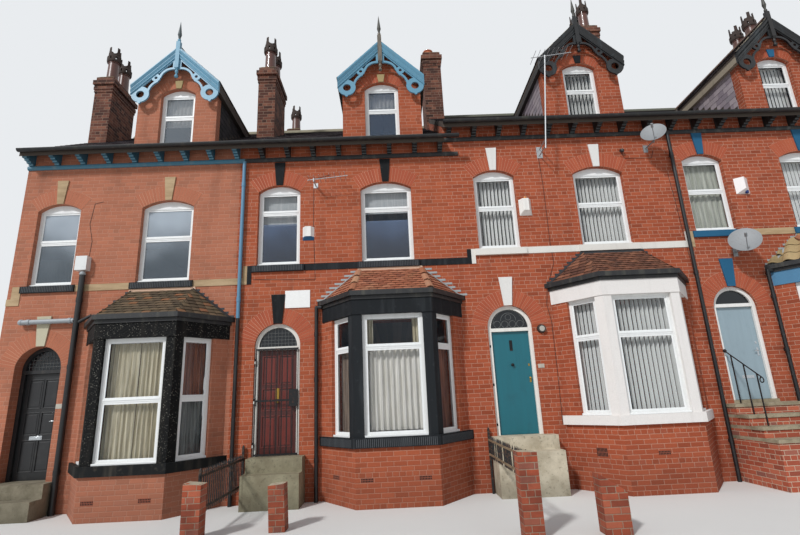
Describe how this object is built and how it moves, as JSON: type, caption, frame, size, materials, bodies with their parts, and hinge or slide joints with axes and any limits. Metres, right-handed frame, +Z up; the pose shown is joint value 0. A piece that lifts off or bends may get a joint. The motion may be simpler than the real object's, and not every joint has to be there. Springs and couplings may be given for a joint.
{
  "type": "terraced house row",
  "caption": "Row of stepped brick terraced houses with arched doorways, canted bays, gabled dormers with bargeboards, party walls and chimney stacks.",
  "frame": {"origin": "on the line between the second and third house, at the foot of the front wall's face, at the lowest ground level", "axes": "+X along the street to the right as seen from it, +Y into the houses, +Z up"},
  "size_m": [19.475, 11.4495, 13.766],
  "materials": {
    "brick": "orange-red brick in pale mortar",
    "floor_boards": "bare boards",
    "roof_covering": "weathered brown and grey tiles and slates",
    "ridge_clay": "weathered clay",
    "pot_clay": "weathered clay",
    "cowl_clay": "sooty clay",
    "dressed_stone": "natural, black, white or blue painted stone",
    "blue_wood": "weathered blue or black gloss paint",
    "black_gutter": "black",
    "black_wood": "black gloss paint",
    "frame_white": "white",
    "pane": "clear",
    "door_black": "black paint",
    "door_red": "dark red paint",
    "door_teal": "teal paint",
    "door_pale": "pale blue paint",
    "black_iron": "black paint",
    "step_stone": "worn stone",
    "fitting_white": "white",
    "bare_metal": "dull"
  },
  "bodies": {
    "house_row": {"party_walls": "brick", "front_piers": "brick", "door_arch_walls": "brick", "walls_over_bays": "brick", "upper_front_a": "brick", "upper_front_b": "brick", "upper_front_c": "brick", "upper_front_d": "brick", "rear_wall_ab": "brick", "rear_wall_cd": "brick", "ground_floors": "floor_boards", "bay_floors": "floor_boards", "first_floors": "floor_boards", "attic_floors": "floor_boards", "roof_front_slopes": "roof_covering", "roof_rear_slopes": "roof_covering", "ridge_tiles": "ridge_clay", "dormer_fronts": "brick", "dormer_cheeks": "roof_covering", "dormer_slopes": "roof_covering", "chimney_stacks": "brick", "chimney_pots": "pot_clay", "pot_cowls": "cowl_clay", "keystones": "dressed_stone", "window_sills": "dressed_stone", "sill_bands": "dressed_stone", "string_mouldings": "blue_wood", "eaves_brackets": "blue_wood", "gutters": "black_gutter", "downpipes": "black_gutter", "bargeboards": "blue_wood", "barge_frets": "blue_wood", "barge_posts": "blue_wood", "dormer_eaves": "black_wood", "bay_plinth_fronts": "brick", "bay_plinth_cants": "brick", "bay_brick_jambs": "brick", "bay_sills": "dressed_stone", "bay_posts": "dressed_stone", "bay_lintels": "dressed_stone", "bay_gutters": "black_gutter", "bay_roofs": "roof_covering", "front_window_frames": "frame_white", "bay_window_frames": "frame_white", "rear_window_frames": "frame_white", "window_glass": "pane", "door_frames": "frame_white", "door_steps": "step_stone", "handrail_d": "black_iron", "yard_piers": "brick", "yard_railings": "black_iron", "alarm_boxes": "fitting_white", "wall_fittings": "fitting_white", "satellite_dishes": "bare_metal", "aerials": "bare_metal"},
    "door_a": {"door_a": "door_black"},
    "door_b": {"door_b": "door_red"},
    "door_c": {"door_c": "door_teal"},
    "door_d": {"door_d": "door_pale"},
    "gate_b": {"gate_b": "black_iron"}
  },
  "joints": [
    {"name": "door_a_hinge", "type": "hinge", "parent": "house_row", "child": "door_a", "pos_m": [-9.3775, 0.332, 1.594], "axis": [0, 0, 1], "range_deg": [0, 90]},
    {"name": "door_b_hinge", "type": "hinge", "parent": "house_row", "child": "door_b", "pos_m": [-4.5775, 0.172, 1.855], "axis": [0, 0, 1], "range_deg": [0, 90]},
    {"name": "door_c_hinge", "type": "hinge", "parent": "house_row", "child": "door_c", "pos_m": [0.2225, 0.172, 2.037], "axis": [0, 0, 1], "range_deg": [0, 90]},
    {"name": "door_d_hinge", "type": "hinge", "parent": "house_row", "child": "door_d", "pos_m": [5.0225, 0.172, 2.427], "axis": [0, 0, 1], "range_deg": [0, 90]},
    {"name": "gate_b_hinge", "type": "hinge", "parent": "house_row", "child": "gate_b", "pos_m": [-4.622, 0.018, 1.867], "axis": [0, 0, -1], "range_deg": [0, 85]}
  ]
}
